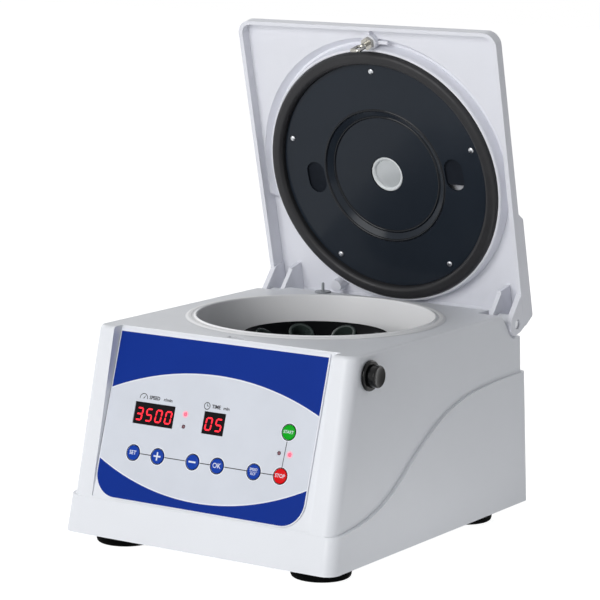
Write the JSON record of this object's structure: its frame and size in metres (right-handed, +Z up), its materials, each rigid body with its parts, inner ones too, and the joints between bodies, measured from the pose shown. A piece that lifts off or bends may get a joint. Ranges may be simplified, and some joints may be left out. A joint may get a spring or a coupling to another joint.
{
  "type": "bench centrifuge with hinged lid",
  "caption": "Small bench centrifuge with a hinged lid standing open over a round chamber, an angled tube rotor, a sloping key panel and a side release button.",
  "frame": {"origin": "on the bench plane, midway between the housing's two sides and midway along the depth of the whole part; the release button makes the part's box reach 5 mm further to the right", "axes": "+Z up, -Y towards the key panel and the user, +X to the right of somebody facing the panel"},
  "size_m": [0.275, 0.3331, 0.4306],
  "materials": {
    "white_shell": "satin white moulding",
    "lid_white": "satin white moulding",
    "bowl_white": "satin white",
    "panel_label": "printed film, matt",
    "key_blue": "satin",
    "key_green": "satin",
    "key_red": "satin",
    "lamp_red": "clear tint",
    "lamp_dark": "clear tint",
    "display_black": "gloss filter",
    "board_green": "solder mask",
    "liner_dark": "semi-gloss",
    "rubber_black": "matt",
    "gasket_rubber": "matt",
    "bright_steel": "bright",
    "zinc_sheet": "zinc plated",
    "black_plastic": "satin",
    "rotor_black": "black anodised",
    "sleeve_black": "satin",
    "motor_grey": "painted",
    "clear_window": "clear",
    "rocker_black": "gloss"
  },
  "bodies": {
    "body": {"housing": "white_shell", "base_plate": "zinc_sheet", "foot_front_left": "rubber_black", "foot_front_right": "rubber_black", "foot_rear_left": "rubber_black", "foot_rear_right": "rubber_black", "chamber_bowl": "bowl_white", "control_panel": "panel_label", "speed_display": "display_black", "time_display": "display_black", "lamp_speed": "lamp_red", "lamp_force": "lamp_dark", "lamp_stop": "lamp_dark", "lamp_run": "lamp_red", "control_board": "board_green", "release_collar": "black_plastic", "latch_bracket": "zinc_sheet", "lid_switch_bush": "white_shell", "lid_switch_body": "black_plastic", "motor_body": "motor_grey", "motor_plate": "zinc_sheet", "motor_damper_1": "rubber_black", "motor_damper_2": "rubber_black", "motor_damper_3": "rubber_black", "power_inlet": "black_plastic", "rocker_frame": "black_plastic"},
    "lid": {"lid_shell": "lid_white", "lid_liner": "liner_dark", "lid_gasket": "gasket_rubber", "liner_screw_1": "bright_steel", "liner_screw_2": "bright_steel", "liner_screw_3": "bright_steel", "liner_screw_4": "bright_steel", "liner_screw_5": "bright_steel", "sight_window": "clear_window", "lid_striker": "bright_steel", "hinge_pin_right": "bright_steel", "hinge_pin_left": "bright_steel"},
    "rotor": {"motor_shaft": "bright_steel", "rotor_head": "rotor_black", "tube_sleeve_1": "sleeve_black", "tube_sleeve_2": "sleeve_black", "tube_sleeve_3": "sleeve_black", "tube_sleeve_4": "sleeve_black", "tube_sleeve_5": "sleeve_black", "tube_sleeve_6": "sleeve_black", "tube_sleeve_7": "sleeve_black", "tube_sleeve_8": "sleeve_black", "rotor_nut": "bright_steel"},
    "release": {"release_button": "black_plastic"},
    "latch": {"latch_bolt": "bright_steel"},
    "switch_pin": {"lid_switch_pin": "bright_steel"},
    "rocker": {"power_rocker": "rocker_black"},
    "key_set_cap": {"key_set": "key_blue"},
    "key_plus_cap": {"key_plus": "key_blue"},
    "key_minus_cap": {"key_minus": "key_blue"},
    "key_ok_cap": {"key_ok": "key_blue"},
    "key_mode_cap": {"key_mode": "key_blue"},
    "key_stop_cap": {"key_stop": "key_red"},
    "key_start_cap": {"key_start": "key_green"}
  },
  "joints": [
    {"name": "lid_hinge", "type": "hinge", "parent": "body", "child": "lid", "pos_m": [0, 0.13683, 0.17294], "axis": [1, 0, 0], "range_deg": [0, 76.06]},
    {"name": "rotor_spin", "type": "hinge", "parent": "body", "child": "rotor", "pos_m": [0, 0.0157, 0.1], "axis": [0, 0, 1], "continuous": true},
    {"name": "release_press", "type": "slide", "parent": "body", "child": "release", "axis": [-1, 0, 0], "range_m": [0, 0.0045], "stiffness_N_per_m": 600, "springref_m": -0.004},
    {"name": "latch_slide", "type": "slide", "parent": "body", "child": "latch", "axis": [0, 1, 0], "range_m": [0, 0.0045]},
    {"name": "switch_pin_slide", "type": "slide", "parent": "body", "child": "switch_pin", "axis": [0, 0, -1], "range_m": [0, 0.0058]},
    {"name": "rocker_tilt", "type": "hinge", "parent": "body", "child": "rocker", "pos_m": [-0.01, 0.15843, 0.07197], "axis": [1, 0, 0], "range_deg": [-24, 0]},
    {"name": "key_set_press", "type": "slide", "parent": "body", "child": "key_set_cap", "axis": [0, 0.9573, -0.289], "range_m": [0, 0.0005], "stiffness_N_per_m": 800, "springref_m": -0.001},
    {"name": "key_plus_press", "type": "slide", "parent": "body", "child": "key_plus_cap", "axis": [0, 0.9573, -0.289], "range_m": [0, 0.0005], "stiffness_N_per_m": 800, "springref_m": -0.001},
    {"name": "key_minus_press", "type": "slide", "parent": "body", "child": "key_minus_cap", "axis": [0, 0.9573, -0.289], "range_m": [0, 0.0005], "stiffness_N_per_m": 800, "springref_m": -0.001},
    {"name": "key_ok_press", "type": "slide", "parent": "body", "child": "key_ok_cap", "axis": [0, 0.9573, -0.289], "range_m": [0, 0.0005], "stiffness_N_per_m": 800, "springref_m": -0.001},
    {"name": "key_mode_press", "type": "slide", "parent": "body", "child": "key_mode_cap", "axis": [0, 0.9573, -0.289], "range_m": [0, 0.0005], "stiffness_N_per_m": 800, "springref_m": -0.001},
    {"name": "key_stop_press", "type": "slide", "parent": "body", "child": "key_stop_cap", "axis": [0, 0.9573, -0.289], "range_m": [0, 0.0005], "stiffness_N_per_m": 800, "springref_m": -0.001},
    {"name": "key_start_press", "type": "slide", "parent": "body", "child": "key_start_cap", "axis": [0, 0.9573, -0.289], "range_m": [0, 0.0005], "stiffness_N_per_m": 800, "springref_m": -0.001}
  ],
  "couplings": [
    {"joint": "latch_slide", "follows": "release_press", "ratio": 1},
    {"joint": "switch_pin_slide", "follows": "lid_hinge", "m_per_rad": 0.00436}
  ]
}
